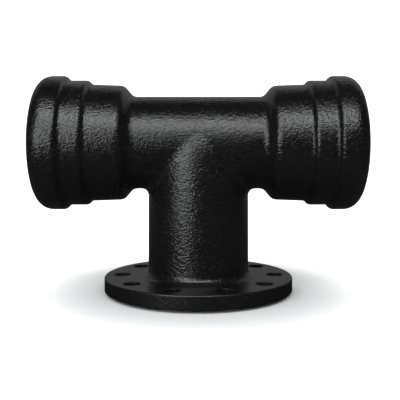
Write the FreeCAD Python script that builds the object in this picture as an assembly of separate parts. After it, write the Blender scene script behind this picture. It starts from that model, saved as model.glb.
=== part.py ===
import FreeCAD
import Part
import math
import os

# Flanged socket tee in cast iron, with a straight run and one flanged branch.
# Millimetres. The origin is the middle of the branch's raised face, which the tee stands on.
# X is the axis of the run, and the branch leaves downwards, along -Z.

# Run between the two sockets
run_bore_radius = 47.0
run_wall = 7.0
run_axis_height = 175.0
centre_to_shoulder = 76.5

# Sockets for a push-in pipe, listed from the middle of the tee out to the mouth
pipe_radius = 55.0
pipe_clearance = 0.5
stop_depth = 4.0
shoulder_length = 10.5
sleeve_wall = 11.5
sleeve_length = 36.5
ring_step_length = 4.5
second_ring_length = 21.5
second_ring_wall = 9.0
mouth_ring_length = 34.5
mouth_ring_wall = 11.0
mouth_bevel = 15.0
mouth_bevel_knee = 5.0
mouth_lip_length = 15.5
mouth_lip_gap = 1.5
lead_in = 4.0

# Two-step groove in each socket that holds the rubber gasket
heel_groove_depth = 11.5
heel_groove_length = 17.0
bulb_groove_depth = 8.0
bulb_groove_length = 22.0

# Rubber gasket: a firm heel and a soft bulb that the pipe presses on
gasket_clearance = 0.2
gasket_relief = 0.7

# Branch, whose outside bends inwards where it runs into the front and back of the run
branch_bore_radius = 50.0
branch_wall = 8.0
bore_taper_height = 65.0
bore_taper_inset = 1.5
bend_radius = 90.0
bend_meets_run_above_axis = 3.5
crotch_fillet = 8.0

# Flange at the foot of the branch
flange_radius = 110.0
flange_thickness = 16.0
flange_edge_chamfer = 1.5
raised_face_height = 3.0
raised_face_to_holes = 2.5
neck_fillet = 8.0
bore_edge_chamfer = 1.0
bolt_count = 10
bolt_circle_to_rim = 20.0
bolt_hole_radius = 9.5

# Sizes that follow from those above
run_outer_radius = run_bore_radius + run_wall
socket_bore_radius = pipe_radius + pipe_clearance
sleeve_outer_radius = socket_bore_radius + sleeve_wall
bulb_groove_radius = socket_bore_radius + bulb_groove_depth
second_ring_radius = bulb_groove_radius + second_ring_wall
heel_groove_radius = socket_bore_radius + heel_groove_depth
mouth_ring_radius = heel_groove_radius + mouth_ring_wall
mouth_lip_radius = socket_bore_radius + mouth_lip_gap
sleeve_start = centre_to_shoulder + shoulder_length
sleeve_end = sleeve_start + sleeve_length
second_ring_start = sleeve_end + ring_step_length
second_ring_end = second_ring_start + second_ring_length
mouth_ring_start = second_ring_end + ring_step_length
half_length = mouth_ring_start + mouth_ring_length
pipe_stop = sleeve_start + stop_depth
heel_groove_end = half_length - mouth_lip_length
heel_groove_start = heel_groove_end - heel_groove_length
bulb_groove_start = heel_groove_start - bulb_groove_length
branch_outer_radius = branch_bore_radius + branch_wall
bore_taper_start = run_axis_height - bore_taper_height
bend_depth = max(branch_outer_radius - run_outer_radius, 0)
bend_meets_run = run_axis_height + bend_meets_run_above_axis
bend_start = bend_meets_run - math.sqrt(bend_radius ** 2 - (bend_radius - bend_depth) ** 2)
bend_end = bend_meets_run + 2 * crotch_fillet
flange_top = raised_face_height + flange_thickness
bolt_circle_radius = flange_radius - bolt_circle_to_rim
raised_face_radius = bolt_circle_radius - bolt_hole_radius - raised_face_to_holes
overrun = 5.0

ALONG_RUN = FreeCAD.Vector(1, 0, 0)
UPWARDS = FreeCAD.Vector(0, 0, 1)
RUN_CENTRE = FreeCAD.Vector(0, 0, run_axis_height)
TOUCH = 0.001


def turned_about_run(corners):
    """Solid of revolution about the run's axis, from (along, radius) corners on its right-hand side."""
    points = [FreeCAD.Vector(along, 0, radius) for along, radius in corners]
    face = Part.Face(Part.makePolygon(points + points[:1]))
    solid = face.revolve(FreeCAD.Vector(0, 0, 0), ALONG_RUN, 360)
    solid.translate(RUN_CENTRE)
    return solid


def whole_run(half):
    """Outline of the run from its left mouth to its right one, from the corners of one half."""
    left = [(-along, radius) for along, radius in reversed(half)]
    return turned_about_run(left + half)


def run_outside():
    """Outside of the run: pipe, and at each end a shoulder, the sleeve and the two rings."""
    return whole_run([
        (centre_to_shoulder, run_outer_radius),
        (sleeve_start, sleeve_outer_radius),
        (sleeve_end, sleeve_outer_radius),
        (second_ring_start, second_ring_radius),
        (second_ring_end, second_ring_radius),
        (mouth_ring_start, mouth_ring_radius),
        (half_length - mouth_bevel, mouth_ring_radius),
        (half_length - mouth_bevel_knee, mouth_ring_radius - mouth_bevel_knee),
        (half_length, mouth_ring_radius - mouth_bevel),
        (half_length, 0),
    ])


def run_inside():
    """Waterway of the run: bore, and at each end the pipe stop, sleeve, gasket groove and lead-in."""
    return whole_run([
        (pipe_stop, run_bore_radius),
        (pipe_stop, socket_bore_radius),
        (bulb_groove_start, socket_bore_radius),
        (bulb_groove_start, bulb_groove_radius),
        (heel_groove_start, bulb_groove_radius),
        (heel_groove_start, heel_groove_radius),
        (heel_groove_end, heel_groove_radius),
        (heel_groove_end, mouth_lip_radius),
        (half_length - lead_in, mouth_lip_radius),
        (half_length, mouth_lip_radius + lead_in),
        (half_length + overrun, mouth_lip_radius + lead_in),
        (half_length + overrun, 0),
    ])


def gasket():
    """Rubber ring of the right-hand socket, in the shape that it has once the pipe is in."""
    inner_radius = socket_bore_radius + gasket_relief
    bulb_outer = bulb_groove_radius - gasket_clearance
    heel_outer = heel_groove_radius - gasket_clearance
    bulb_start = bulb_groove_start + gasket_clearance
    heel_start = heel_groove_start + gasket_clearance
    heel_end = heel_groove_end - gasket_clearance
    return turned_about_run([
        (bulb_start, inner_radius),
        (bulb_start, bulb_outer),
        (heel_start, bulb_outer),
        (heel_start, heel_outer),
        (heel_end, heel_outer),
        (heel_end, inner_radius),
    ])


def bend_point(height):
    """Point of the branch's outside at the given height on its bend."""
    depth = bend_radius - math.sqrt(bend_radius ** 2 - (height - bend_start) ** 2)
    return FreeCAD.Vector(branch_outer_radius - depth, 0, height)


def branch_outside():
    """Round pipe from the flange upwards, which bends inwards until it is sunk in the run."""
    foot = FreeCAD.Vector(0, 0, flange_top)
    rim = FreeCAD.Vector(branch_outer_radius, 0, flange_top)
    bend_foot = bend_point(bend_start)
    bend_middle = bend_point((bend_start + bend_end) / 2)
    bend_top = bend_point(bend_end)
    top = FreeCAD.Vector(0, 0, bend_end)
    outline = Part.Wire([
        Part.makeLine(foot, rim),
        Part.makeLine(rim, bend_foot),
        Part.Arc(bend_foot, bend_middle, bend_top).toShape(),
        Part.makeLine(bend_top, top),
        Part.makeLine(top, foot),
    ])
    return Part.Face(outline).revolve(FreeCAD.Vector(0, 0, 0), UPWARDS, 360)


def branch_bore():
    """Bore of the branch, which tapers from below the run up to the run's axis."""
    bottom = FreeCAD.Vector(0, 0, -overrun)
    straight = Part.makeCylinder(branch_bore_radius, bore_taper_start + overrun, bottom)
    bore_at_axis = run_bore_radius - bore_taper_inset
    taper_foot = FreeCAD.Vector(0, 0, bore_taper_start)
    taper = Part.makeCone(branch_bore_radius, bore_at_axis, bore_taper_height, taper_foot)
    return straight.fuse(taper)


def rounded_crotch(shape):
    """The same shape with a fillet all round the edge where the branch meets the run."""
    edges = []
    for edge in shape.Edges:
        box = edge.BoundBox
        on_branch = box.XMax < branch_outer_radius + TOUCH and box.XMin > -branch_outer_radius - TOUCH
        below_bend_end = box.ZMin > flange_top + TOUCH and box.ZMax < bend_end - TOUCH
        if on_branch and below_bend_end and box.ZLength > TOUCH:
            edges.append(edge)
    return shape.makeFillet(crotch_fillet, edges)


def flange():
    """Round plate with chamfered rims, and the raised face under it."""
    plate = Part.makeCylinder(flange_radius, flange_thickness, FreeCAD.Vector(0, 0, raised_face_height))
    rims = [edge for edge in plate.Edges if isinstance(edge.Curve, Part.Circle)]
    raised_face = Part.makeCylinder(raised_face_radius, raised_face_height)
    return plate.makeChamfer(flange_edge_chamfer, rims).fuse(raised_face)


def rounded_neck(shape):
    """The same shape with a fillet where the branch stands on the flange."""
    edges = []
    for edge in shape.Edges:
        box = edge.BoundBox
        on_flange = abs(box.ZMin - flange_top) < TOUCH and abs(box.ZMax - flange_top) < TOUCH
        if on_flange and abs(box.XMax - branch_outer_radius) < TOUCH:
            edges.append(edge)
    return shape.makeFillet(neck_fillet, edges)


def bolt_holes():
    """Holes on the bolt circle, the first of them under the run, on its +X side."""
    holes = []
    for index in range(bolt_count):
        angle = 2 * math.pi * index / bolt_count
        along = bolt_circle_radius * math.cos(angle)
        across = bolt_circle_radius * math.sin(angle)
        foot = FreeCAD.Vector(along, across, -overrun)
        holes.append(Part.makeCylinder(bolt_hole_radius, flange_top + 2 * overrun, foot))
    return holes


def face_chamfer():
    """Cone that takes the sharp edge off the branch's bore at the raised face."""
    length = bore_edge_chamfer + overrun
    foot = FreeCAD.Vector(0, 0, -overrun)
    return Part.makeCone(branch_bore_radius + length, branch_bore_radius, length, foot)


def iron_outside():
    """Outside of the casting: run and branch joined by a fillet, on the flange."""
    tee = rounded_crotch(run_outside().fuse(branch_outside()))
    return rounded_neck(tee.fuse(flange()))


def waterway():
    """Inside of the casting: both sockets, the run's bore and the branch's bore."""
    return run_inside().fuse(branch_bore())


def tee_casting():
    """The iron casting, with its waterway and bolt holes."""
    return iron_outside().cut([waterway(), face_chamfer()] + bolt_holes())


def main():
    right_gasket = gasket()
    parts = {
        "tee_casting": tee_casting(),
        "right_socket_gasket": right_gasket,
        "left_socket_gasket": right_gasket.mirror(FreeCAD.Vector(0, 0, 0), ALONG_RUN),
    }
    os.makedirs("parts", exist_ok=True)
    for name, shape in parts.items():
        shape.exportStep(os.path.join("parts", name + ".step"))
        print(name, "solids", len(shape.Solids), "volume", round(shape.Volume), "valid", shape.isValid())


main()
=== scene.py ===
import math

import bmesh
import bpy
import numpy as np
from bpy.props import FloatProperty, FloatVectorProperty, IntProperty, PointerProperty
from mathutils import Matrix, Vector
from mathutils.geometry import delaunay_2d_cdt


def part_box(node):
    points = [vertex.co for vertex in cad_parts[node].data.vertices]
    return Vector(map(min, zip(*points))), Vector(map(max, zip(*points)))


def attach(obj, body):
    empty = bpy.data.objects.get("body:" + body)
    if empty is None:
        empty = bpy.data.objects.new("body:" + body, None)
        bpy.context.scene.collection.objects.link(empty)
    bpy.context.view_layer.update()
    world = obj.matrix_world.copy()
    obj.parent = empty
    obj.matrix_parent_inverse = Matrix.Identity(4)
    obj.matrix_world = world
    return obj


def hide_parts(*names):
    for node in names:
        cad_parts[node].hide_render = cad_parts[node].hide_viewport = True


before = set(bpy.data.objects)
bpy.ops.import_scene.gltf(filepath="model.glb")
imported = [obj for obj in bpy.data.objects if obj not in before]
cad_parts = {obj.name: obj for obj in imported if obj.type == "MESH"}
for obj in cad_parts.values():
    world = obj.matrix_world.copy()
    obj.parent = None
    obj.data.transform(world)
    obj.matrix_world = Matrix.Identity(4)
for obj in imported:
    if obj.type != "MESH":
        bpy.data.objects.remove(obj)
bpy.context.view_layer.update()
casting_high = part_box("tee_casting")[1]
gasket_low, gasket_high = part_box("right_socket_gasket")

bl_info = {
    "name": "Flanged socket tee",
    "version": (1, 0, 0),
    "blender": (4, 5, 0),
    "location": "3D View > Sidebar > Tee",
    "description": "Builds a cast-iron pipe tee with two sockets and a flanged branch",
    "category": "Object",
}

BODY = "root"
FULL_TURN = 2 * math.pi
MERGE_DISTANCE = 1e-6

# How far the rounded mouths stay inside the ends of the plain solid
MOUTH_INSET = 0.0014


def length(name, description, default):
    """A length in metres that the user can change."""
    return FloatProperty(name=name, description=description, default=default,
                         min=0.0, precision=4, unit="LENGTH")


def from_middle(name, where, default):
    """A length along the run, measured from the middle of the tee."""
    return length(name, f"From the middle of the tee to {where}", default)


def share(name, description, default):
    """A number from 0 to 1 that the user can change."""
    return FloatProperty(name=name, description=description, default=default,
                         min=0.0, max=1.0, subtype="FACTOR")


def colour(name, description, default):
    """A colour that the user can change."""
    return FloatVectorProperty(name=name, description=description, default=default, size=3,
                               min=0.0, max=1.0, subtype="COLOR")


def power(name, description, default):
    """A lamp's power in watts that the user can change."""
    return FloatProperty(name=name, description=description, default=default, min=0.0, unit="POWER")


class RunSizes(bpy.types.PropertyGroup):
    """Sizes of the straight run and of the stepped socket at each end of it."""

    axis_height: length("Axis height", "Height of the run's axis above the flange's raised face", 0.175)
    bore_radius: length("Bore radius", "Radius of the run's waterway", 0.047)
    outer_radius: length("Outer radius", "Outside radius of the run between its sockets", 0.0543)
    shoulder_start: from_middle("Shoulder start", "the foot of the shoulder", 0.0765)
    sleeve_start: from_middle("Sleeve start", "the sleeve", 0.087)
    sleeve_end: from_middle("Sleeve end", "the end of the sleeve", 0.1246)
    sleeve_radius: length("Sleeve radius", "Outside radius of the sleeve beside the shoulder", 0.0673)
    sleeve_draft: length("Sleeve draft", "How much the sleeve widens towards the rings", 0.0013)
    second_ring_start: from_middle("Second ring start", "the second ring", 0.1291)
    second_ring_end: from_middle("Second ring end", "the end of the second ring", 0.1508)
    second_ring_radius: length("Second ring radius", "Outside radius of the second ring", 0.0733)
    mouth_ring_start: from_middle("Mouth ring start", "the mouth ring", 0.1553)
    mouth_ring_radius: length("Mouth ring radius", "Outside radius of the ring at the mouth", 0.0786)
    half_length: from_middle("Half length", "each mouth", casting_high.x - MOUTH_INSET)
    shoulder_rounding: length("Shoulder rounding", "Rounding at both ends of the shoulder", 0.010)
    ring_rounding: length("Ring rounding", "Rounding at the steps between the rings", 0.005)
    mouth_rounding: length("Mouth rounding", "Rounding of the mouth ring's outer edge", 0.0175)
    socket_radius: length("Socket radius", "Inside radius of the sleeve", 0.0555)
    pipe_stop: from_middle("Pipe stop", "the shoulder that stops the pipe", 0.091)
    bulb_groove_start: from_middle("Bulb groove start", "the deep end of the gasket's groove", 0.134)
    bulb_groove_radius: length("Bulb groove radius", "Radius of the groove's deep part", 0.0635)
    heel_groove_start: from_middle("Heel groove start", "the groove's wide part", 0.156)
    heel_groove_end: from_middle("Heel groove end", "the lip at the mouth", 0.173)
    heel_groove_radius: length("Heel groove radius", "Radius of the groove's wide part", 0.067)
    lip_radius: length("Lip radius", "Inside radius of the lip at the mouth", 0.057)
    lead_in: length("Lead-in", "Chamfer inside the mouth", 0.004)


class BranchSizes(bpy.types.PropertyGroup):
    """Sizes of the branch and of its flange."""

    bore_radius: length("Bore radius", "Radius of the branch's waterway", 0.050)
    outer_radius: length("Outer radius", "Outside radius of the branch", 0.0589)
    lean_start: length("Lean start", "Height at which the branch's outside starts to lean inwards", 0.1675)
    lean_knee: length("Lean knee", "Height over which that lean sets in", 0.012)
    lean_angle: FloatProperty(
        name="Lean angle", description="How far the branch's outside leans inwards where it meets the run",
        default=math.radians(16), subtype="ANGLE", unit="ROTATION")
    taper_start: length("Taper start", "Height at which the branch's bore starts to narrow", 0.110)
    bore_at_axis: length("Bore at axis", "Radius that the branch's bore has at the run's axis", 0.0455)
    crotch_fillet: length("Crotch fillet", "Fillet where the branch meets the run's underside", 0.008)
    front_fillet: length("Front fillet", "Fillet where the branch meets the run's front and back", 0.035)
    bore_fillet: length("Bore fillet", "Rounding where the two waterways meet", 0.004)
    neck_fillet: length("Neck fillet", "Fillet where the branch stands on the flange", 0.008)
    flange_radius: length("Flange radius", "Outside radius of the flange", casting_high.y)
    flange_top: length("Flange top", "Height of the flange's back", 0.019)
    flange_bottom: length("Flange bottom", "Height of the flange's front, beside the raised face", 0.003)
    rim_rounding: length("Rim rounding", "Rounding of the flange's rims", 0.0015)
    raised_face_radius: length("Raised face radius", "Radius of the raised face", 0.078)
    bore_chamfer: length("Bore chamfer", "Chamfer of the bore at the raised face", 0.001)
    bolt_count: IntProperty(name="Bolt count", description="Number of bolt holes", default=10, min=1)
    bolt_circle_radius: length("Bolt circle radius", "Radius of the circle of bolt holes", 0.090)
    bolt_hole_radius: length("Bolt hole radius", "Radius of each bolt hole", 0.0095)
    bolt_hole_chamfer: length("Bolt hole chamfer", "Broken edge of each bolt hole", 0.0010)


class GasketSizes(bpy.types.PropertyGroup):
    """Sizes of the rubber gasket in each socket."""

    start: from_middle("Start", "the gasket's inner end", gasket_low.x)
    end: from_middle("End", "the gasket's heel", gasket_high.x)
    heel_start: from_middle("Heel start", "the step behind the heel", 0.1562)
    heel_radius: length("Heel radius", "Outside radius of the heel", gasket_high.y)
    bulb_radius: length("Bulb radius", "Outside radius of the bulb", 0.0633)
    seal_radius: length("Seal radius", "Inside radius of the bulb before the pipe is pushed in", 0.0538)
    mouth_radius: length("Mouth radius", "Inside radius of the heel at the mouth", 0.0590)
    rounding: length("Rounding", "Rounding of the gasket's edges", 0.0012)


class IronLook(bpy.types.PropertyGroup):
    """Look of the black coat on the casting."""

    paint: colour("Paint", "Colour of the coat", (0.0040, 0.0038, 0.0036))
    dust: colour("Dust", "Colour of the thin film in the grain's hollows", (0.016, 0.015, 0.014))
    roughness: share("Roughness", "Roughness of the coat", 0.165)
    grain_size: length("Grain size", "Size of the sand grain that shows through the coat", 0.0018)
    grain_height: length("Grain height", "Height of that grain", 0.0010)


class RubberLook(bpy.types.PropertyGroup):
    """Look of the gaskets."""

    rubber: colour("Rubber", "Colour of the rubber", (0.012, 0.012, 0.012))
    bloom: colour("Bloom", "Colour of the faint bloom on it", (0.030, 0.030, 0.031))
    roughness: share("Roughness", "Roughness of the rubber", 0.55)


class StageLook(bpy.types.PropertyGroup):
    """Floor, lamps, background and camera."""

    floor: colour("Floor", "Colour of the floor and backdrop", (0.70, 0.70, 0.70))
    shade_reach: length("Shade reach", "Radius within which the floor shows only its own shading", 0.11)
    glow_reach: length("Glow reach", "Radius outside which the floor glows plain white", 0.295)
    floor_in_reflections: share("Floor in reflections", "How bright the floor shows in the coat", 0.02)
    backdrop_in_reflections: share(
        "Backdrop in reflections", "How bright the backdrop shows in the coat", 0.12)
    room_in_reflections: share("Room in reflections", "How bright the room shows in the coat", 0.01)
    key_power: power("Key power", "Power of the large lamp in front and above", 17.0)
    low_power: power("Low power", "Power of the low lamp on the left", 7.0)
    middle_power: power("Middle power", "Power of the small lamp between those two", 1.2)
    back_power: power("Back power", "Power of the weak lamp behind the tee", 0.7)
    fill_strength: share("Fill", "Strength of the light from all round", 0.80)
    focal_length: FloatProperty(
        name="Focal length", description="Focal length for a sensor 36 mm wide, in millimetres",
        default=56.2, min=1.0, unit="CAMERA")
    camera_place: FloatVectorProperty(
        name="Camera place", description="Where the level camera stands",
        default=(0.0019, -0.740, 0.1647), size=3, subtype="TRANSLATION", unit="LENGTH")
    camera_shift: FloatProperty(
        name="Camera shift", description="How far the level camera's picture is shifted down",
        default=0.1216)


GROUPS = {
    "tee_run": RunSizes,
    "tee_branch": BranchSizes,
    "tee_gasket": GasketSizes,
    "tee_iron": IronLook,
    "tee_rubber": RubberLook,
    "tee_stage": StageLook,
}


def rounded_outline(corners, arc_step=math.radians(13), longest=0.010, support=0.0007):
    """Points along an open outline of (along, radius, rounding) corners, each rounded by a tangent arc.

    No side of an arc turns by more than arc_step and no stretch is much longer than longest. Beside
    each arc lie support points, which keep the smooth shading of the stretch flat.
    """
    points = [np.array(corner[:2]) for corner in corners]
    outline = [points[0]]

    def straight_to(end):
        """Adds points up to end, close to both ends of the stretch and evenly between them."""
        start = outline[-1]
        reach = np.linalg.norm(end - start)
        if reach < MERGE_DISTANCE:
            return
        direction = (end - start) / reach
        margin = min(support, reach / 3)
        steps = max(1, math.ceil((reach - 2 * margin) / longest))
        for along in np.linspace(margin, reach - margin, steps + 1):
            outline.append(start + direction * along)
        outline.append(end)

    for index in range(1, len(points) - 1):
        corner, rounding = points[index], corners[index][2]
        to_last = (points[index - 1] - corner) / np.linalg.norm(points[index - 1] - corner)
        to_next = (points[index + 1] - corner) / np.linalg.norm(points[index + 1] - corner)
        half_angle = math.acos(np.clip(to_last @ to_next, -1, 1)) / 2
        reach = rounding / math.tan(half_angle)
        bisector = (to_last + to_next) / np.linalg.norm(to_last + to_next)
        centre = corner + bisector * rounding / math.sin(half_angle)
        enter = corner + to_last * reach
        straight_to(enter)
        turn = math.pi - 2 * half_angle
        steps = max(2, math.ceil(turn / arc_step))
        from_centre = enter - centre
        side = np.sign(to_last[0] * to_next[1] - to_last[1] * to_next[0])
        for step in range(1, steps + 1):
            angle = -side * turn * step / steps
            cosine, sine = math.cos(angle), math.sin(angle)
            turned = np.array([cosine * from_centre[0] - sine * from_centre[1],
                               sine * from_centre[0] + cosine * from_centre[1]])
            outline.append(centre + turned)
    straight_to(points[-1])
    return np.array(outline)


class Shell:
    """Vertices and faces of a closed skin, gathered patch by patch and then merged."""

    def __init__(self):
        self.vertices = []
        self.faces = []

    def add_grid(self, rows):
        """Adds a patch of quads from rows of points that all have as many columns, closed round."""
        count = len(rows[0])
        first = len(self.vertices)
        for row in rows:
            self.vertices.extend(row)
        for line in range(len(rows) - 1):
            for column in range(count):
                following = (column + 1) % count
                low = first + line * count
                high = low + count
                self.faces.append((low + column, low + following, high + following, high + column))

    def add_triangles(self, points, triangles):
        """Adds loose triangles."""
        first = len(self.vertices)
        self.vertices.extend(points)
        self.faces.extend(tuple(first + corner for corner in triangle) for triangle in triangles)

    def to_mesh(self, name):
        """The merged skin as a mesh, with its faces outwards."""
        mesh = bpy.data.meshes.new(name)
        mesh.from_pydata([tuple(point) for point in self.vertices], [], self.faces)
        work = bmesh.new()
        work.from_mesh(mesh)
        bmesh.ops.remove_doubles(work, verts=work.verts, dist=MERGE_DISTANCE)
        bmesh.ops.dissolve_degenerate(work, dist=MERGE_DISTANCE / 10, edges=work.edges)
        bmesh.ops.recalc_face_normals(work, faces=work.faces)
        open_edges = sum(1 for edge in work.edges if len(edge.link_faces) != 2)
        if open_edges:
            raise RuntimeError(f"{name} has {open_edges} open edges")
        work.to_mesh(mesh)
        work.free()
        return mesh


# Columns of points round the run and round the branch, how far apart the rows along the run lie, rows
# along the wall of the branch and steps across its fillets
RUN_COLUMNS = 144
BRANCH_COLUMNS = 180
RUN_SPACING = 0.0045
WALL_ROWS = 15
FILLET_STEPS = 8
run_angles = np.linspace(-math.pi, math.pi, RUN_COLUMNS + 1)[:-1]
branch_angles = np.linspace(0, FULL_TURN, BRANCH_COLUMNS + 1)[:-1]


def round_run(along, radius, angles, axis_height):
    """Points at that radius about the run's axis; an angle of 0 is straight down."""
    along = np.broadcast_to(along, np.shape(angles))
    return np.stack([along, radius * np.sin(angles), axis_height - radius * np.cos(angles)], axis=-1)


def round_branch(radius, height, angles):
    """Points at that radius about the branch's axis, at that height."""
    height = np.broadcast_to(height, np.shape(angles))
    return np.stack([radius * np.cos(angles), radius * np.sin(angles), height], axis=-1)


def tapered(radius, start, slope, knee=0.002):
    """Profile of a branch that narrows evenly past a soft knee: its radius and slope at each height."""
    def at(height):
        past = height - start
        soft = np.sqrt(past ** 2 + knee ** 2)
        return radius - slope * (past + soft) / 2, -slope * (1 + past / soft) / 2
    return at


# Where the search for the rolling ball's contact starts and ends, and how often it is halved
SEARCH_BELOW_RUN = 0.004
SEARCH_ABOVE_AXIS = 0.015
SEARCH_HALVINGS = 50


def rolling_fillet(profile, run_radius, fillet, axis_height):
    """Rows of points of the fillet between the run and a branch of that profile, from branch to run.

    A ball of the fillet's radius rolls round the crotch and touches both surfaces, and each column
    of the fillet is the arc between its two contact points. The radius may differ from column to column.
    """
    sine = np.sin(branch_angles)
    fillet = np.broadcast_to(fillet, sine.shape)

    def touching(height):
        """Reach and height of the ball's centre, and the branch's slope, when it touches at that height."""
        radius, slope = profile(height)
        sideways = fillet / np.sqrt(1 + slope ** 2)
        return radius + sideways, height - slope * sideways, slope

    low = axis_height - run_radius - fillet - SEARCH_BELOW_RUN
    high = np.full_like(sine, axis_height + SEARCH_ABOVE_AXIS)
    for _ in range(SEARCH_HALVINGS):
        middle = (low + high) / 2
        reach, up, _slope = touching(middle)
        apart = (reach * sine) ** 2 + (up - axis_height) ** 2 > (run_radius + fillet) ** 2
        low = np.where(apart, middle, low)
        high = np.where(apart, high, middle)
    reach, up, slope = touching(low)
    centre = round_branch(reach, up, branch_angles)
    size = np.sqrt(1 + slope ** 2)
    to_branch = -np.stack([np.cos(branch_angles) / size, sine / size, -slope / size], axis=-1)
    to_run = np.stack([np.zeros_like(sine), -centre[:, 1], axis_height - centre[:, 2]], axis=-1)
    to_run /= np.linalg.norm(to_run, axis=1)[:, None]
    opening = np.arccos(np.clip((to_branch * to_run).sum(axis=1), -1, 1))[:, None]
    rows = []
    for part in np.linspace(0, 1, FILLET_STEPS + 1):
        to_skin = np.sin((1 - part) * opening) * to_branch + np.sin(part * opening) * to_run
        rows.append(centre + fillet[:, None] * to_skin / np.sin(opening))
    return rows


# The run's grid keeps this far from the hole, and its triangles are found to this tolerance
HOLE_MARGIN = 0.0012
TRIANGLE_TOLERANCE = 1e-9


def run_with_hole(shell, radius, reach, contact, axis_height):
    """Adds the run's tube between its two sockets, with a hole round the contact line of the fillet."""
    contact_angle = np.arctan2(contact[:, 1], axis_height - contact[:, 2])
    hole = np.stack([contact[:, 0], radius * contact_angle], axis=-1)
    hole_bearing = np.arctan2(hole[:, 1], hole[:, 0]) % FULL_TURN
    hole_reach = np.linalg.norm(hole, axis=1)
    order = np.argsort(hole_bearing)

    def inside(points, margin):
        """Whether each flat point lies within the hole, or nearer to its edge than the margin."""
        bearing = np.arctan2(points[:, 1], points[:, 0]) % FULL_TURN
        edge = np.interp(bearing, hole_bearing[order], hole_reach[order], period=FULL_TURN)
        return np.linalg.norm(points, axis=1) < edge + margin

    angles = np.linspace(-math.pi, math.pi, RUN_COLUMNS + 1)
    stations = np.linspace(-reach, reach, 2 * math.ceil(reach / RUN_SPACING) + 1)
    grid = np.array([(along, radius * angle) for along in stations for angle in angles])
    on_edge = np.isclose(np.abs(grid[:, 0]), reach) | np.isclose(np.abs(grid[:, 1]), math.pi * radius)
    grid = grid[on_edge | ~inside(grid, HOLE_MARGIN)]
    flat = np.concatenate([hole, grid])
    ring = [(index, (index + 1) % len(hole)) for index in range(len(hole))]
    points = [Vector(point) for point in flat]
    placed, _, triangles, _, _, _ = delaunay_2d_cdt(points, ring, [], 0, TRIANGLE_TOLERANCE)
    placed = np.array([(point.x, point.y) for point in placed])
    middles = np.array([placed[list(triangle)].mean(axis=0) for triangle in triangles])
    kept = [triangle for triangle, within in zip(triangles, inside(middles, 0.0)) if not within]
    solid = round_run(placed[:, 0], radius, placed[:, 1] / radius, axis_height)
    shell.add_triangles(solid, kept)


# Roundings of the edges inside the sockets and under the flange
MOUTH_EDGE_ROUNDING = 0.0012
LIP_ROUNDING = 0.0008
GROOVE_ROUNDING = 0.002
GROOVE_STEP_ROUNDING = 0.001
PIPE_STOP_ROUNDING = 0.0015
RAISED_FACE_ROUNDING = 0.0006
BORE_EDGE_ROUNDING = 0.0003

# Where the sockets end and the plain run starts, outside and inside
OUTER_REACH = 0.070
INNER_REACH = 0.066

# How far below the start of the bore's taper the straight foot of the branch ends
FOOT_BELOW_TAPER = 0.008


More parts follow.
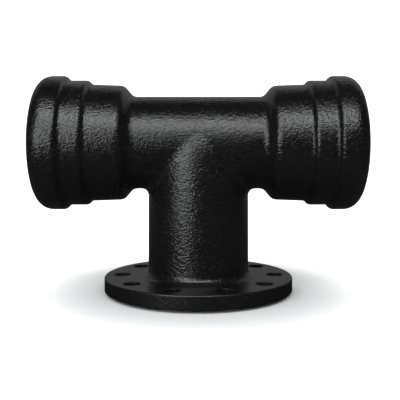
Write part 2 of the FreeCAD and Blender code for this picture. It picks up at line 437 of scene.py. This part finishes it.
def casting_mesh(run, branch):
    """The whole skin of the casting, outside and inside, before its bolt holes are drilled."""
    shell = Shell()
    height = run.axis_height
    outline = rounded_outline([
        (OUTER_REACH, run.outer_radius, 0),
        (run.shoulder_start, run.outer_radius, run.shoulder_rounding),
        (run.sleeve_start, run.sleeve_radius, run.shoulder_rounding),
        (run.sleeve_end, run.sleeve_radius + run.sleeve_draft, run.ring_rounding),
        (run.second_ring_start, run.second_ring_radius, run.ring_rounding),
        (run.second_ring_end, run.second_ring_radius, run.ring_rounding),
        (run.mouth_ring_start, run.mouth_ring_radius, run.ring_rounding),
        (run.half_length, run.mouth_ring_radius, run.mouth_rounding),
        (run.half_length, run.lip_radius + run.lead_in, MOUTH_EDGE_ROUNDING),
        (run.half_length - run.lead_in, run.lip_radius, MOUTH_EDGE_ROUNDING),
        (run.heel_groove_end, run.lip_radius, LIP_ROUNDING),
        (run.heel_groove_end, run.heel_groove_radius, GROOVE_ROUNDING),
        (run.heel_groove_start, run.heel_groove_radius, GROOVE_ROUNDING),
        (run.heel_groove_start, run.bulb_groove_radius, GROOVE_STEP_ROUNDING),
        (run.bulb_groove_start, run.bulb_groove_radius, GROOVE_ROUNDING),
        (run.bulb_groove_start, run.socket_radius, GROOVE_STEP_ROUNDING),
        (run.pipe_stop, run.socket_radius, GROOVE_ROUNDING),
        (run.pipe_stop, run.bore_radius, PIPE_STOP_ROUNDING),
        (INNER_REACH, run.bore_radius, 0),
    ])
    for side in (-1, 1):
        shell.add_grid([round_run(side * along, radius, run_angles, height) for along, radius in outline])
    lean = math.tan(branch.lean_angle)
    outside = tapered(branch.outer_radius, branch.lean_start, lean, branch.lean_knee)
    narrowing = (branch.bore_radius - branch.bore_at_axis) / (height - branch.taper_start)
    inside = tapered(branch.bore_radius, branch.taper_start, narrowing)
    # The fillet is widest at the front and back and narrowest under the run
    to_front = np.sin(branch_angles) ** 4
    fillet = branch.crotch_fillet + (branch.front_fillet - branch.crotch_fillet) * to_front
    outer_fillet = rolling_fillet(outside, run.outer_radius, fillet, height)
    inner_fillet = rolling_fillet(inside, run.bore_radius, branch.bore_fillet, height)
    run_with_hole(shell, run.outer_radius, OUTER_REACH, outer_fillet[-1], height)
    run_with_hole(shell, run.bore_radius, INNER_REACH, inner_fillet[-1], height)
    shell.add_grid(outer_fillet)
    shell.add_grid(inner_fillet)
    straight_top = branch.taper_start - FOOT_BELOW_TAPER
    flange_outline = rounded_outline([
        (outside(straight_top)[0], straight_top, 0),
        (branch.outer_radius, branch.flange_top, branch.neck_fillet),
        (branch.flange_radius, branch.flange_top, branch.rim_rounding),
        (branch.flange_radius, branch.flange_bottom, branch.rim_rounding),
        (branch.raised_face_radius, branch.flange_bottom, RAISED_FACE_ROUNDING),
        (branch.raised_face_radius, 0.0, RAISED_FACE_ROUNDING),
        (branch.bore_radius + branch.bore_chamfer, 0.0, BORE_EDGE_ROUNDING),
        (branch.bore_radius, branch.bore_chamfer, BORE_EDGE_ROUNDING),
        (inside(straight_top)[0], straight_top, 0),
    ])
    shell.add_grid([round_branch(radius, up, branch_angles) for radius, up in flange_outline])
    for profile, contact in ((outside, outer_fillet[0]), (inside, inner_fillet[0])):
        rows = []
        for part in np.linspace(0, 1, WALL_ROWS):
            up = straight_top + (contact[:, 2] - straight_top) * part
            rows.append(round_branch(profile(up)[0], up, branch_angles))
        shell.add_grid(rows)
    return shell.to_mesh("cast_tee")


NODE_SPACING = 220


def add_node(tree, kind, inputs=None, **settings):
    """One node in the tree, with its settings, and each input linked to a socket or set to a value."""
    node = tree.nodes.new(kind)
    node.location = (NODE_SPACING * (len(tree.nodes) - 1), 0)
    for name, value in settings.items():
        setattr(node, name, value)
    for key, value in (inputs or {}).items():
        for source in value if isinstance(value, list) else [value]:
            if isinstance(source, bpy.types.NodeSocket):
                tree.links.new(source, node.inputs[key])
            else:
                node.inputs[key].default_value = source
    return node


def calculator(tree):
    """A function that adds a sum on sockets or numbers to the tree and gives its result."""
    def calculate(operation, *values):
        return add_node(tree, "ShaderNodeMath", dict(enumerate(values)), operation=operation).outputs[0]
    return calculate


def new_geometry_tree(name, inputs):
    """A Geometry Nodes tree with those named inputs, and its input and output nodes."""
    tree = bpy.data.node_groups.new(name, "GeometryNodeTree")
    for label, kind in inputs:
        tree.interface.new_socket(name=label, in_out="INPUT", socket_type=kind)
    tree.interface.new_socket(name="Geometry", in_out="OUTPUT", socket_type="NodeSocketGeometry")
    tree.is_modifier = True
    return tree, add_node(tree, "NodeGroupInput").outputs, add_node(tree, "NodeGroupOutput")


def finish_tree(tree, shape, material, out):
    """Ends the tree with its instances made real and its material set."""
    realized = add_node(tree, "GeometryNodeRealizeInstances", {"Geometry": shape}).outputs[0]
    finished = add_node(tree, "GeometryNodeSetMaterial", {
        "Geometry": realized, "Material": material}).outputs[0]
    tree.links.new(finished, out.inputs[0])
    return tree


def plain_mesh(piece, tree, values, name):
    """Runs the tree on the piece with those values, and leaves it with the plain mesh that comes out."""
    modifier = piece.modifiers.new(tree.name, "NODES")
    modifier.node_group = tree
    for item in tree.interface.items_tree:
        if item.item_type == "SOCKET" and item.in_out == "INPUT" and item.name in values:
            modifier[item.identifier] = values[item.name]
    bpy.context.view_layer.update()
    evaluated = piece.evaluated_get(bpy.context.evaluated_depsgraph_get())
    mesh = bpy.data.meshes.new_from_object(evaluated)
    mesh.name = name
    piece.modifiers.remove(modifier)
    old_mesh = piece.data
    piece.data = mesh
    bpy.data.meshes.remove(old_mesh)
    return mesh


def add_piece(name, mesh):
    """An object in the scene with that mesh, at the origin."""
    piece = bpy.data.objects.new(name, mesh)
    bpy.context.scene.collection.objects.link(piece)
    return piece


def shade(mesh, sharp_angle):
    """Smooth shading, with edges sharper than that angle left sharp."""
    mesh.shade_smooth()
    mesh.set_sharp_from_angle(angle=sharp_angle)


# Sides of each bolt hole, depth of its countersink in chamfers, length of the drill in plate heights,
# and how near the points that the drilling leaves are merged
HOLE_SIDES = 56
SINK_DEPTH = 3.0
DRILL_LENGTH = 2.0
WELD_DISTANCE = 0.00002


def drilling_tree():
    """Geometry Nodes that drill the bolt holes on their circle and break the edges of each."""
    tree, given, out = new_geometry_tree("Drill bolt holes", [
        ("Casting", "NodeSocketGeometry"),
        ("Bolt count", "NodeSocketInt"),
        ("Bolt circle radius", "NodeSocketFloat"),
        ("Hole radius", "NodeSocketFloat"),
        ("Chamfer", "NodeSocketFloat"),
        ("Plate top", "NodeSocketFloat"),
        ("Plate bottom", "NodeSocketFloat"),
        ("Material", "NodeSocketMaterial"),
    ])
    calculate = calculator(tree)

    def at_height(height, shape, turned=0.0):
        """The shape on every point of the bolt circle, at that height."""
        place = add_node(tree, "ShaderNodeCombineXYZ", {"Z": height}).outputs[0]
        raised = add_node(tree, "GeometryNodeTransform", {
            "Geometry": circle, "Translation": place}).outputs[0]
        return add_node(tree, "GeometryNodeInstanceOnPoints", {
            "Points": raised, "Instance": shape, "Rotation": (turned, 0.0, 0.0)}).outputs[0]

    circle = add_node(tree, "GeometryNodeMeshCircle", {
        "Vertices": given["Bolt count"], "Radius": given["Bolt circle radius"]}).outputs[0]
    middle = calculate("MULTIPLY", calculate("ADD", given["Plate top"], given["Plate bottom"]), 0.5)
    drill = add_node(tree, "GeometryNodeMeshCylinder", {
        "Vertices": HOLE_SIDES, "Radius": given["Hole radius"],
        "Depth": calculate("MULTIPLY", given["Plate top"], DRILL_LENGTH)}).outputs[0]
    depth = calculate("MULTIPLY", given["Chamfer"], SINK_DEPTH)
    sink = add_node(tree, "GeometryNodeMeshCone", {
        "Vertices": HOLE_SIDES, "Radius Bottom": given["Hole radius"],
        "Radius Top": calculate("ADD", given["Hole radius"], depth), "Depth": depth}).outputs["Mesh"]
    cutters = [
        at_height(middle, drill),
        at_height(calculate("SUBTRACT", given["Plate top"], given["Chamfer"]), sink),
        at_height(calculate("ADD", given["Plate bottom"], given["Chamfer"]), sink, math.pi),
    ]
    drilled = add_node(
        tree, "GeometryNodeMeshBoolean", {"Mesh 1": given["Casting"], "Mesh 2": cutters},
        operation="DIFFERENCE", solver="MANIFOLD").outputs["Mesh"]
    merged = add_node(tree, "GeometryNodeMergeByDistance", {
        "Geometry": drilled, "Distance": WELD_DISTANCE}).outputs[0]
    return finish_tree(tree, merged, given["Material"], out)


# Sides of the ring and of its rounded edges
RING_SIDES = 160
EDGE_SIDES = 4

# Inside of the gasket from its heel to its bulb: what part of the way each corner lies from the gasket's
# start to its end, and from the seal's radius to the mouth's
GASKET_INSIDE = ((0.72, 0.75), (0.50, 0.55), (0.34, 0.0), (0.12, 0.0))

# What part of the way the inner edge of the bulb's blunt end lies from the seal's radius to the bulb's
BULB_END = 0.45


def gasket_tree():
    """Geometry Nodes that sweep the gasket's section round the run's axis."""
    tree, given, out = new_geometry_tree("Gasket ring", [
        ("Geometry", "NodeSocketGeometry"),
        ("Axis height", "NodeSocketFloat"),
        ("Start", "NodeSocketFloat"),
        ("End", "NodeSocketFloat"),
        ("Heel start", "NodeSocketFloat"),
        ("Heel radius", "NodeSocketFloat"),
        ("Bulb radius", "NodeSocketFloat"),
        ("Seal radius", "NodeSocketFloat"),
        ("Mouth radius", "NodeSocketFloat"),
        ("Rounding", "NodeSocketFloat"),
        ("Turn", "NodeSocketFloat"),
        ("Material", "NodeSocketMaterial"),
    ])

    def mix(first, second, part):
        """A length that lies part of the way from the first to the second."""
        ends = {"Factor": part, "A": first, "B": second}
        return add_node(tree, "ShaderNodeMix", ends, data_type="FLOAT").outputs[0]

    start, end, heel_start = given["Start"], given["End"], given["Heel start"]
    seal, mouth = given["Seal radius"], given["Mouth radius"]
    bulb, heel = given["Bulb radius"], given["Heel radius"]
    corners = [
        (start, mix(seal, bulb, BULB_END)),
        (start, bulb),
        (heel_start, bulb),
        (heel_start, heel),
        (end, heel),
        (end, mouth),
    ]
    for along_part, outward_part in GASKET_INSIDE:
        corners.append((mix(start, end, along_part), mix(seal, mouth, outward_part)))
    picked = add_node(tree, "GeometryNodeIndexSwitch", data_type="VECTOR")
    while len(picked.index_switch_items) < len(corners):
        picked.index_switch_items.new()
    tree.links.new(add_node(tree, "GeometryNodeInputIndex").outputs[0], picked.inputs[0])
    for index, (along, radius) in enumerate(corners):
        outwards = add_node(tree, "ShaderNodeMath", {0: radius, 1: seal}, operation="SUBTRACT").outputs[0]
        corner = add_node(tree, "ShaderNodeCombineXYZ", {"X": outwards, "Y": along}).outputs[0]
        tree.links.new(corner, picked.inputs[index + 1])
    line = add_node(tree, "GeometryNodeCurvePrimitiveLine").outputs[0]
    points = add_node(tree, "GeometryNodeResampleCurve", {"Curve": line, "Count": len(corners)}).outputs[0]
    placed = add_node(tree, "GeometryNodeSetPosition", {
        "Geometry": points, "Position": picked.outputs[0]}).outputs[0]
    closed = add_node(tree, "GeometryNodeSetSplineCyclic", {"Geometry": placed, "Cyclic": True}).outputs[0]
    section = add_node(
        tree, "GeometryNodeFilletCurve",
        {"Curve": closed, "Radius": given["Rounding"], "Count": EDGE_SIDES, "Limit Radius": True},
        mode="POLY").outputs[0]
    path = add_node(tree, "GeometryNodeCurvePrimitiveCircle", {
        "Resolution": RING_SIDES, "Radius": seal}).outputs[0]
    ring = add_node(tree, "GeometryNodeCurveToMesh", {"Curve": path, "Profile Curve": section}).outputs[0]
    place = add_node(tree, "ShaderNodeCombineXYZ", {"Z": given["Axis height"]}).outputs[0]
    turns = add_node(tree, "ShaderNodeCombineXYZ", {"Y": math.pi / 2, "Z": given["Turn"]}).outputs[0]
    turned = add_node(tree, "GeometryNodeTransform", {
        "Geometry": ring, "Translation": place, "Rotation": turns}).outputs[0]
    return finish_tree(tree, turned, given["Material"], out)


# Make-up of the grain: the share of each layer in its height, and how coarse the two coarser layers are
SAND_SHARE = 0.55
LUMP_SHARE = 0.2
SWELL_SHARE = 0.2
LUMP_FREQUENCY = 0.55
SWELL_FREQUENCY = 0.25

# Height of sand and lumps at which the grain's hollows begin, and at which they are full
HOLLOWS_BEGIN = 0.36
HOLLOWS_FULL = 0.25


def grain_group():
    """Shader node group for a grained surface: its height, its hollows and broad patches."""
    tree = bpy.data.node_groups.get("Casting grain")
    if tree:
        return tree
    tree = bpy.data.node_groups.new("Casting grain", "ShaderNodeTree")
    for name, in_out, kind in (
            ("Place", "INPUT", "NodeSocketVector"),
            ("Grain size", "INPUT", "NodeSocketFloat"),
            ("Patch size", "INPUT", "NodeSocketFloat"),
            ("Height", "OUTPUT", "NodeSocketFloat"),
            ("Hollows", "OUTPUT", "NodeSocketFloat"),
            ("Patches", "OUTPUT", "NodeSocketFloat")):
        tree.interface.new_socket(name=name, in_out=in_out, socket_type=kind)
    given = add_node(tree, "NodeGroupInput").outputs
    out = add_node(tree, "NodeGroupOutput")
    calculate = calculator(tree)
    place = given["Place"]
    frequency = calculate("DIVIDE", 1.0, given["Grain size"])
    sand = add_node(tree, "ShaderNodeTexNoise", {
        "Vector": place, "Scale": frequency, "Detail": 1.0, "Roughness": 0.5}).outputs[0]
    lumps = add_node(
        tree, "ShaderNodeTexVoronoi",
        {"Vector": place, "Scale": calculate("MULTIPLY", frequency, LUMP_FREQUENCY),
         "Smoothness": 0.5, "Randomness": 1.0},
        feature="SMOOTH_F1").outputs["Distance"]
    swell = add_node(tree, "ShaderNodeTexNoise", {
        "Vector": place, "Scale": calculate("MULTIPLY", frequency, SWELL_FREQUENCY),
        "Detail": 1.0}).outputs[0]
    mixed = calculate(
        "ADD", calculate("MULTIPLY", sand, SAND_SHARE), calculate("MULTIPLY", lumps, LUMP_SHARE))
    height = calculate("ADD", mixed, calculate("MULTIPLY", swell, SWELL_SHARE))
    hollows = add_node(tree, "ShaderNodeMapRange", {
        "Value": mixed, "From Min": HOLLOWS_BEGIN, "From Max": HOLLOWS_FULL}).outputs[0]
    patches = add_node(tree, "ShaderNodeTexNoise", {
        "Vector": place, "Scale": calculate("DIVIDE", 1.0, given["Patch size"]), "Detail": 3.0}).outputs[0]
    for name, source in (("Height", height), ("Hollows", hollows), ("Patches", patches)):
        tree.links.new(source, out.inputs[name])
    return tree


def new_material(name):
    """A material with its surface shader, and the Object coordinates that it reads."""
    material = bpy.data.materials.new(name)
    material.use_nodes = True
    tree = material.node_tree
    tree.nodes.clear()
    surface = add_node(tree, "ShaderNodeBsdfPrincipled")
    add_node(tree, "ShaderNodeOutputMaterial", {"Surface": surface.outputs[0]})
    place = add_node(tree, "ShaderNodeTexCoord").outputs["Object"]
    return material, tree, surface, place


def grain_on(tree, place, grain_size, patch_size):
    """The grain's height, hollows and patches at those sizes."""
    return add_node(
        tree, "ShaderNodeGroup", {"Place": place, "Grain size": grain_size, "Patch size": patch_size},
        node_tree=grain_group()).outputs


def blend(tree, part, first, second):
    """A colour that lies part of the way from the first to the second."""
    return add_node(
        tree, "ShaderNodeMix", {0: part, 6: (*first, 1.0), 7: (*second, 1.0)},
        data_type="RGBA").outputs[2]


def fill_in(surface, tint, roughness, normal):
    """Links the three inputs of the surface that change over it."""
    tree = surface.id_data
    tree.links.new(tint, surface.inputs["Base Color"])
    tree.links.new(roughness, surface.inputs["Roughness"])
    tree.links.new(normal, surface.inputs["Normal"])


# Grain of the coat: the size of its patches, how much of the grain the flange has, and the height above
# the flange over which the rest comes in
COAT_PATCH_SIZE = 0.045
FLANGE_GRAIN = 0.35
GRAIN_RISE = 0.010

# Grooves turned in the raised face: their pitch, their depth as a share of the grain's, and the height
# below which they show
GROOVE_PITCH = 0.0008
GROOVE_SHARE = 0.12
GROOVES_TOP = 0.0004

# What the patches, the flange and the dust add to the coat's roughness, and the coat's refraction
PATCH_ROUGHNESS = 0.12
FLANGE_ROUGHNESS = 0.2
DUST_ROUGHNESS = 0.15
COAT_IOR = 1.6


def painted_iron(look, branch):
    """Black coat on the sand-cast surface, smoother on the flange and with grooves turned in its face."""
    material, tree, surface, place = new_material("Black coated iron")
    calculate = calculator(tree)
    grain = grain_on(tree, place, look.grain_size, COAT_PATCH_SIZE)
    along, across, up = add_node(tree, "ShaderNodeSeparateXYZ", {0: place}).outputs
    cast = add_node(tree, "ShaderNodeMapRange", {
        "Value": up, "From Min": branch.flange_top, "From Max": branch.flange_top + GRAIN_RISE,
        "To Min": FLANGE_GRAIN, "To Max": 1.0}).outputs[0]
    squares = calculate("ADD", calculate("POWER", along, 2.0), calculate("POWER", across, 2.0))
    reach = calculate("SQRT", squares)
    grooves = calculate("SINE", calculate("MULTIPLY", reach, FULL_TURN / GROOVE_PITCH))
    on_face = calculate("LESS_THAN", up, GROOVES_TOP)
    turned = calculate("MULTIPLY", calculate("MULTIPLY", grooves, on_face), GROOVE_SHARE)
    height = calculate("ADD", calculate("MULTIPLY", grain["Height"], cast), turned)
    normal = add_node(tree, "ShaderNodeBump", {
        "Height": height, "Distance": look.grain_height, "Strength": 1.0}).outputs[0]
    film = calculate("MULTIPLY", grain["Hollows"], grain["Patches"])
    tint = blend(tree, film, look.paint, look.dust)
    from_patches = calculate("MULTIPLY", calculate("SUBTRACT", grain["Patches"], 0.5), PATCH_ROUGHNESS)
    from_flange = calculate("MULTIPLY", calculate("SUBTRACT", 1.0, cast), FLANGE_ROUGHNESS)
    from_dust = calculate("MULTIPLY", film, DUST_ROUGHNESS)
    roughness = look.roughness
    for added in (from_patches, from_flange, from_dust):
        roughness = calculate("ADD", roughness, added)
    fill_in(surface, tint, roughness, normal)
    surface.inputs["IOR"].default_value = COAT_IOR
    return material


# Grain of the rubber: its size, the size of its patches, its height, and how much its roughness varies
RUBBER_GRAIN_SIZE = 0.0007
RUBBER_PATCH_SIZE = 0.02
RUBBER_GRAIN_HEIGHT = 0.00004
RUBBER_VARIES = 0.08


def rubber(look):
    """Matt black rubber with a faint bloom."""
    material, tree, surface, place = new_material("Gasket rubber")
    grain = grain_on(tree, place, RUBBER_GRAIN_SIZE, RUBBER_PATCH_SIZE)
    tint = blend(tree, grain["Patches"], look.rubber, look.bloom)
    normal = add_node(tree, "ShaderNodeBump", {
        "Height": grain["Height"], "Distance": RUBBER_GRAIN_HEIGHT, "Strength": 1.0}).outputs[0]
    roughness = add_node(tree, "ShaderNodeMapRange", {
        "Value": grain["Patches"], "To Min": look.roughness - RUBBER_VARIES,
        "To Max": look.roughness + RUBBER_VARIES}).outputs[0]
    fill_in(surface, tint, roughness, normal)
    return material


# Edges that turn by more than these stay sharp
IRON_SHARP = math.radians(40)
RUBBER_SHARP = math.radians(50)


class TEE_OT_casting(bpy.types.Operator):
    """Builds the cast-iron body with its sockets, branch and drilled flange"""

    bl_idname = "tee.casting"
    bl_label = "Cast body"

    def execute(self, context):
        run, branch = context.scene.tee_run, context.scene.tee_branch
        iron = painted_iron(context.scene.tee_iron, branch)
        body = add_piece("tee_body", casting_mesh(run, branch))
        body.data.materials.append(iron)
        plain_mesh(body, drilling_tree(), {
            "Bolt count": branch.bolt_count,
            "Bolt circle radius": branch.bolt_circle_radius,
            "Hole radius": branch.bolt_hole_radius,
            "Chamfer": branch.bolt_hole_chamfer,
            "Plate top": branch.flange_top,
            "Plate bottom": branch.flange_bottom,
            "Material": iron,
        }, "tee_body")
        shade(body.data, IRON_SHARP)
        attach(body, BODY)
        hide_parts("tee_casting")
        return {"FINISHED"}


class TEE_OT_gaskets(bpy.types.Operator):
    """Builds the rubber gasket in each socket"""

    bl_idname = "tee.gaskets"
    bl_label = "Socket gaskets"

    def execute(self, context):
        sizes = context.scene.tee_gasket
        tree = gasket_tree()
        material = rubber(context.scene.tee_rubber)
        for side, turn in (("right", 0.0), ("left", math.pi)):
            gasket = add_piece(f"{side}_gasket_ring", bpy.data.meshes.new(f"{side}_start"))
            plain_mesh(gasket, tree, {
                "Axis height": context.scene.tee_run.axis_height,
                "Start": sizes.start,
                "End": sizes.end,
                "Heel start": sizes.heel_start,
                "Heel radius": sizes.heel_radius,
                "Bulb radius": sizes.bulb_radius,
                "Seal radius": sizes.seal_radius,
                "Mouth radius": sizes.mouth_radius,
                "Rounding": sizes.rounding,
                "Turn": turn,
                "Material": material,
            }, f"{side}_gasket_ring")
            shade(gasket.data, RUBBER_SHARP)
            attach(gasket, BODY)
            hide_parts(f"{side}_socket_gasket")
        return {"FINISHED"}


# Each lamp's bearing and elevation in degrees, then its width and height. A bearing of 0 is in front of
# the tee and 90 on its right.
LAMPS = {
    "key": (-4, 46, 2.0, 0.65),
    "low": (-34, 9, 0.85, 0.7),
    "middle": (-8, 23, 0.65, 0.35),
    "back": (170, 42, 1.8, 0.6),
}
WHITE = (1.0, 1.0, 1.0, 1.0)
LAMP_TONE = (0.97, 0.985, 1.0)
LAMP_DISTANCE = 1.6
LAMP_TARGET = Vector((0, 0, 0.13))


def soft_lamp(name, watts, bearing, elevation, width, height):
    """A rectangular lamp that faces the tee."""
    data = bpy.data.lights.new(name, "AREA")
    data.shape = "RECTANGLE"
    data.size, data.size_y = width, height
    data.energy = watts
    data.color = LAMP_TONE
    turn, rise = math.radians(bearing), math.radians(elevation)
    away = Vector((math.sin(turn) * math.cos(rise), -math.cos(turn) * math.cos(rise), math.sin(rise)))
    place = LAMP_TARGET + away * LAMP_DISTANCE
    lamp = bpy.data.objects.new(name, data)
    bpy.context.scene.collection.objects.link(lamp)
    lamp.location = place
    lamp.rotation_euler = (LAMP_TARGET - place).to_track_quat("-Z", "Y").to_euler()


def white_showing(tree, in_reflections):
    """The tree's light paths, and how strongly its white shows: fully to the camera, less when mirrored."""
    path = add_node(tree, "ShaderNodeLightPath").outputs
    calculate = calculator(tree)
    mirrored = calculate("MULTIPLY", path["Is Glossy Ray"], in_reflections)
    straight = calculate("ADD", path["Is Camera Ray"], path["Is Transmission Ray"])
    return path, calculate("ADD", straight, mirrored)


def white_material(name, tint, in_reflections, shade_reach=0.0, glow_reach=0.0):
    """Pale matt surface that also glows to the camera and in reflections, so that it looks white.

    Within the shade's reach of the origin it doesn't glow, and past the glow's reach it glows fully.
    Without a glow's reach it glows fully all over. From behind it is clear.
    """
    material = bpy.data.materials.new(name)
    material.use_nodes = True
    tree = material.node_tree
    tree.nodes.clear()
    calculate = calculator(tree)
    path, shown = white_showing(tree, in_reflections)
    dimmed = calculate("SUBTRACT", 1.0, calculate("MULTIPLY", path["Is Glossy Ray"], 1.0 - in_reflections))
    tone = blend(tree, dimmed, (0.0, 0.0, 0.0), tint)
    matt = add_node(tree, "ShaderNodeBsdfDiffuse", {"Color": tone}).outputs[0]
    if glow_reach:
        place = add_node(tree, "ShaderNodeTexCoord").outputs["Object"]
        reach = add_node(tree, "ShaderNodeVectorMath", {0: place}, operation="LENGTH").outputs["Value"]
        rise = add_node(
            tree, "ShaderNodeMapRange", {"Value": reach, "From Min": shade_reach, "From Max": glow_reach},
            interpolation_type="SMOOTHSTEP").outputs[0]
        shown = calculate("MULTIPLY", shown, rise)
    glow = add_node(tree, "ShaderNodeEmission", {"Color": WHITE, "Strength": shown}).outputs[0]
    lit = add_node(tree, "ShaderNodeAddShader", {0: matt, 1: glow}).outputs[0]
    clear = add_node(tree, "ShaderNodeBsdfTransparent").outputs[0]
    behind = add_node(tree, "ShaderNodeNewGeometry").outputs["Backfacing"]
    seen = add_node(tree, "ShaderNodeMixShader", {0: behind, 1: lit, 2: clear}).outputs[0]
    add_node(tree, "ShaderNodeOutputMaterial", {"Surface": seen})
    return material


def add_stage_sheet(name, low, high, material):
    """A flat sheet of the stage between two opposite corners, with its near edge along X."""
    corners = [low, (high[0], *low[1:]), high, (low[0], *high[1:])]
    mesh = bpy.data.meshes.new(name)
    mesh.from_pydata(corners, [], [tuple(range(len(corners)))])
    sheet = add_piece(name, mesh)
    sheet.data.materials.append(material)


def white_room(look):
    """A world that is white to the camera and lights matt surfaces evenly from all round."""
    world = bpy.data.worlds.new("Room")
    world.use_nodes = True
    tree = world.node_tree
    tree.nodes.clear()
    calculate = calculator(tree)
    path, shown = white_showing(tree, look.room_in_reflections)
    lighting = calculate("MULTIPLY", path["Is Diffuse Ray"], look.fill_strength)
    air = add_node(tree, "ShaderNodeBackground", {
        "Color": WHITE, "Strength": calculate("ADD", shown, lighting)}).outputs[0]
    add_node(tree, "ShaderNodeOutputWorld", {"Surface": air})
    return world


# Width in millimetres of the sensor that the focal length is given for
SENSOR_WIDTH = 36.0


def level_camera(look):
    """A camera that looks level towards the back of the stage, with its picture shifted."""
    lens = bpy.data.cameras.new("view")
    lens.sensor_width = SENSOR_WIDTH
    lens.lens = look.focal_length
    lens.shift_y = -look.camera_shift
    camera = bpy.data.objects.new("view", lens)
    bpy.context.scene.collection.objects.link(camera)
    camera.location = look.camera_place
    camera.rotation_euler = (math.pi / 2, 0.0, 0.0)
    return camera


# Opposite corners of the floor, and of the backdrop that stands on it behind the tee
FLOOR_CORNERS = ((-6.0, -6.0, 0.0), (6.0, 6.0, 0.0))
BACKDROP_CORNERS = ((-2.5, 1.9, 0.0), (2.5, 1.9, 2.4))


class TEE_OT_stage(bpy.types.Operator):
    """Sets up the floor, the backdrop, the lamps and the camera"""

    bl_idname = "tee.stage"
    bl_label = "Floor, lamps and camera"

    def execute(self, context):
        look = context.scene.tee_stage
        floor = white_material(
            "Floor", look.floor, look.floor_in_reflections, look.shade_reach, look.glow_reach)
        backdrop = white_material("Backdrop", look.floor, look.backdrop_in_reflections)
        add_stage_sheet("floor", *FLOOR_CORNERS, floor)
        add_stage_sheet("backdrop", *BACKDROP_CORNERS, backdrop)
        for name, placing in LAMPS.items():
            soft_lamp(f"{name}_lamp", getattr(look, f"{name}_power"), *placing)
        context.scene.world = white_room(look)
        context.scene.camera = level_camera(look)
        context.scene.view_settings.view_transform = "Standard"
        return {"FINISHED"}


class TEE_PT_panel(bpy.types.Panel):
    """Lists the pieces of the tee and the sizes that they are built from"""

    bl_idname = "TEE_PT_panel"
    bl_label = "Flanged socket tee"
    bl_space_type = "VIEW_3D"
    bl_region_type = "UI"
    bl_category = "Tee"

    def draw(self, context):
        for operator in OPERATORS:
            self.layout.operator(operator.bl_idname)
        for name, group in GROUPS.items():
            box = self.layout.box()
            box.label(text=group.__doc__)
            for key in group.__annotations__:
                box.prop(getattr(context.scene, name), key)


OPERATORS = (TEE_OT_casting, TEE_OT_gaskets, TEE_OT_stage)
CLASSES = (*GROUPS.values(), *OPERATORS, TEE_PT_panel)


def register():
    """Makes the classes known and gives the scene its sizes and looks."""
    for kind in CLASSES:
        bpy.utils.register_class(kind)
    for name, group in GROUPS.items():
        setattr(bpy.types.Scene, name, PointerProperty(type=group))


def unregister():
    """Takes the classes away again."""
    for name in GROUPS:
        delattr(bpy.types.Scene, name)
    for kind in reversed(CLASSES):
        bpy.utils.unregister_class(kind)


def main():
    """Builds the tee and its stage."""
    register()
    bpy.ops.tee.casting()
    bpy.ops.tee.gaskets()
    bpy.ops.tee.stage()


if __name__ == "__main__":
    main()
